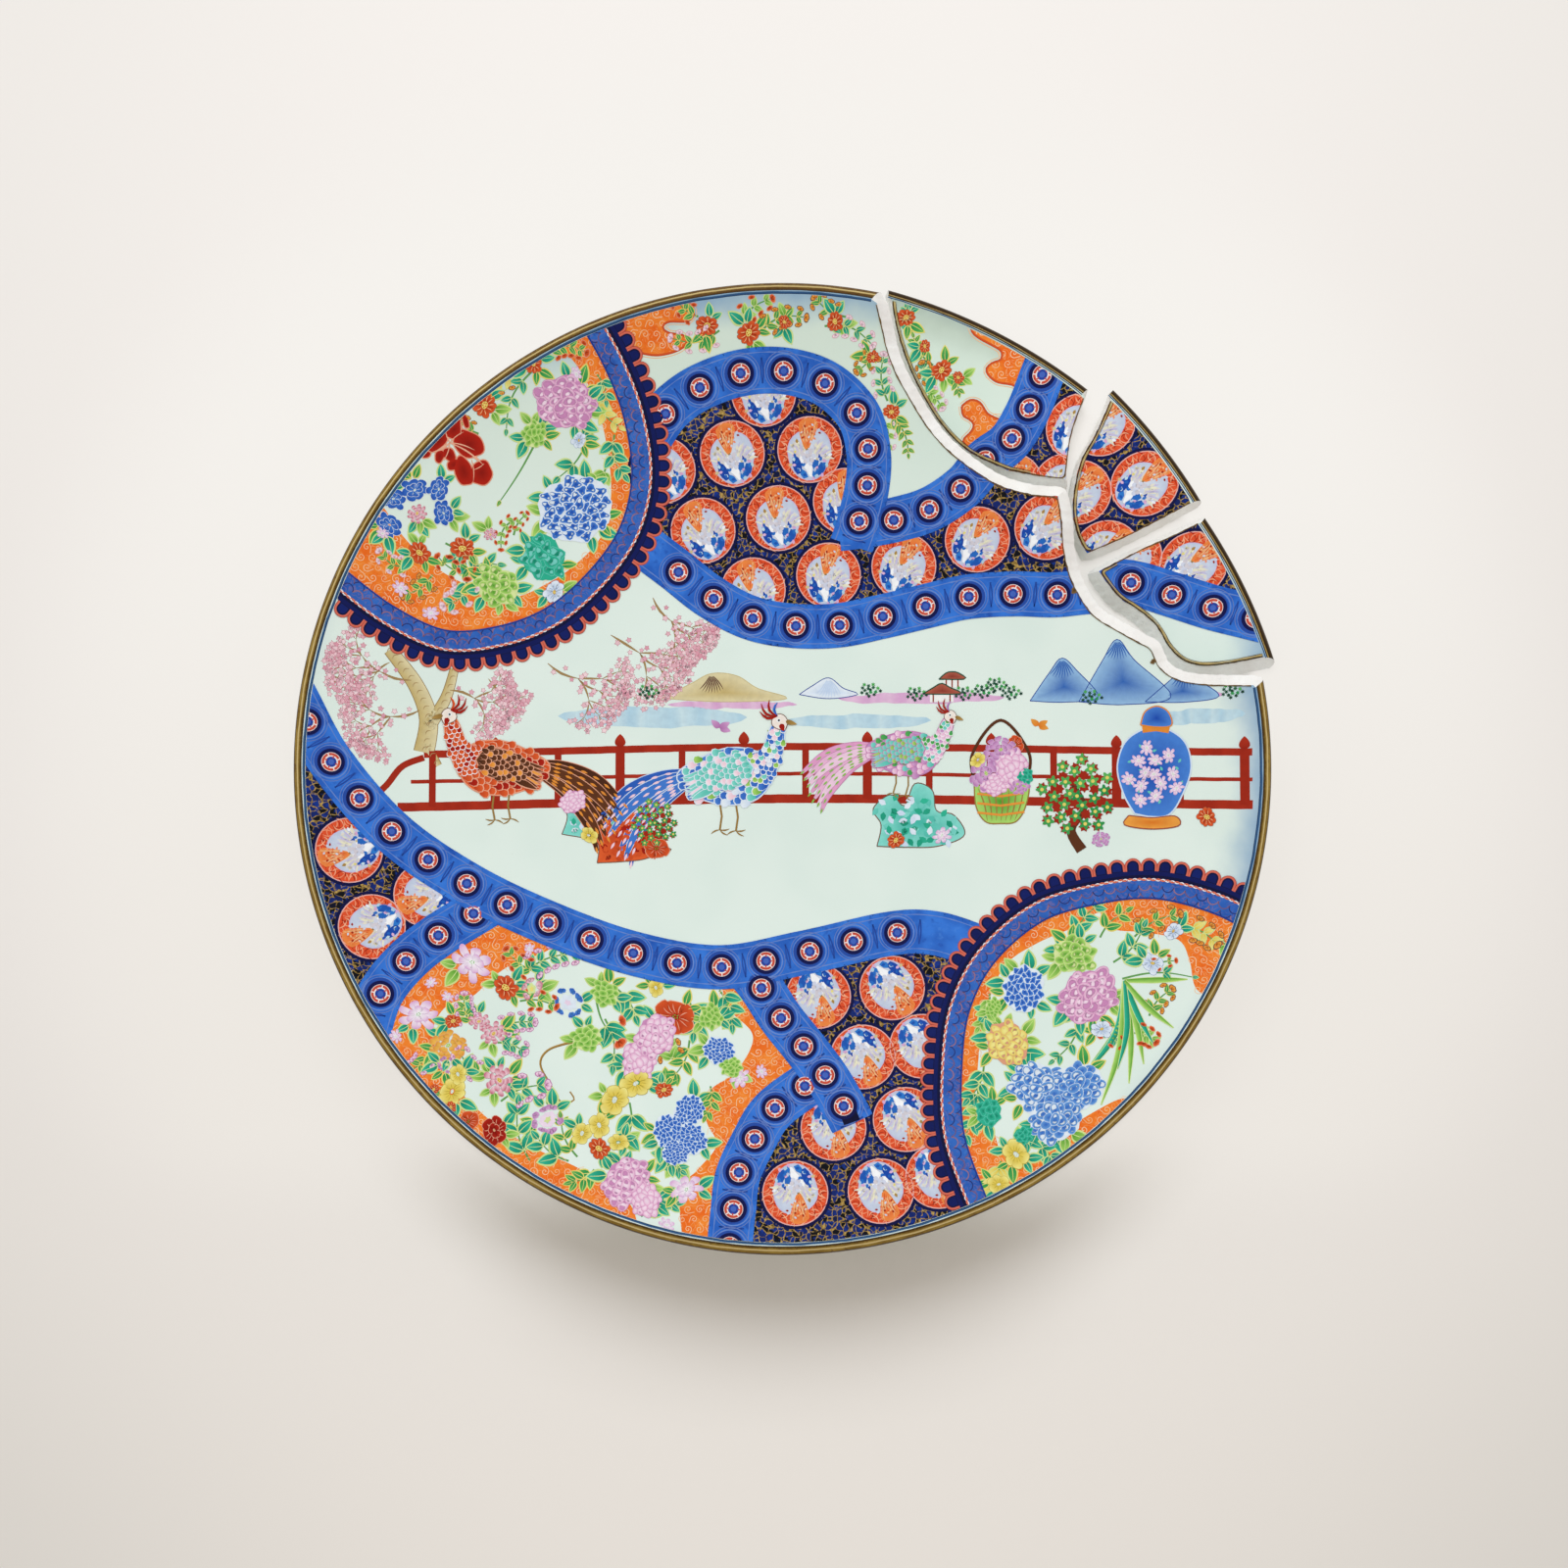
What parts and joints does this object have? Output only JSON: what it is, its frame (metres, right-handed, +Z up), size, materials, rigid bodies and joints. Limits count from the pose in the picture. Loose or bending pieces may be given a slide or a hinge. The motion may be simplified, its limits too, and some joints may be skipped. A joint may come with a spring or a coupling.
{
  "type": "broken porcelain plate in pieces",
  "caption": "Large round porcelain dish on a foot ring, broken at the rim, with its loose curved rim shards lying beside the gap.",
  "frame": {"origin": "on the table, on the axis of the dish, under its middle; the loose shards reach 5 mm further than the dish on +X and +Y", "axes": "+Z up, out of the face of the dish; +X to the right and +Y away from a viewer who sees the painted scene upright, so the gap in the rim is towards +X +Y"},
  "size_m": [0.4659, 0.4651, 0.055],
  "materials": {
    "porcelain": "pale celadon-white glaze, glossy; bare ivory body where it is broken",
    "cobalt": "cobalt blue painted under the glaze",
    "enamel": "overglaze enamels in red, orange, green, pink, yellow and blue",
    "gilding": "worn gilding on the rim and fine gold line work"
  },
  "bodies": {
    "root": {"dish_body": "porcelain", "upper_shard": "porcelain", "middle_shard": "porcelain", "lower_shard": "porcelain"}
  },
  "joints": []
}
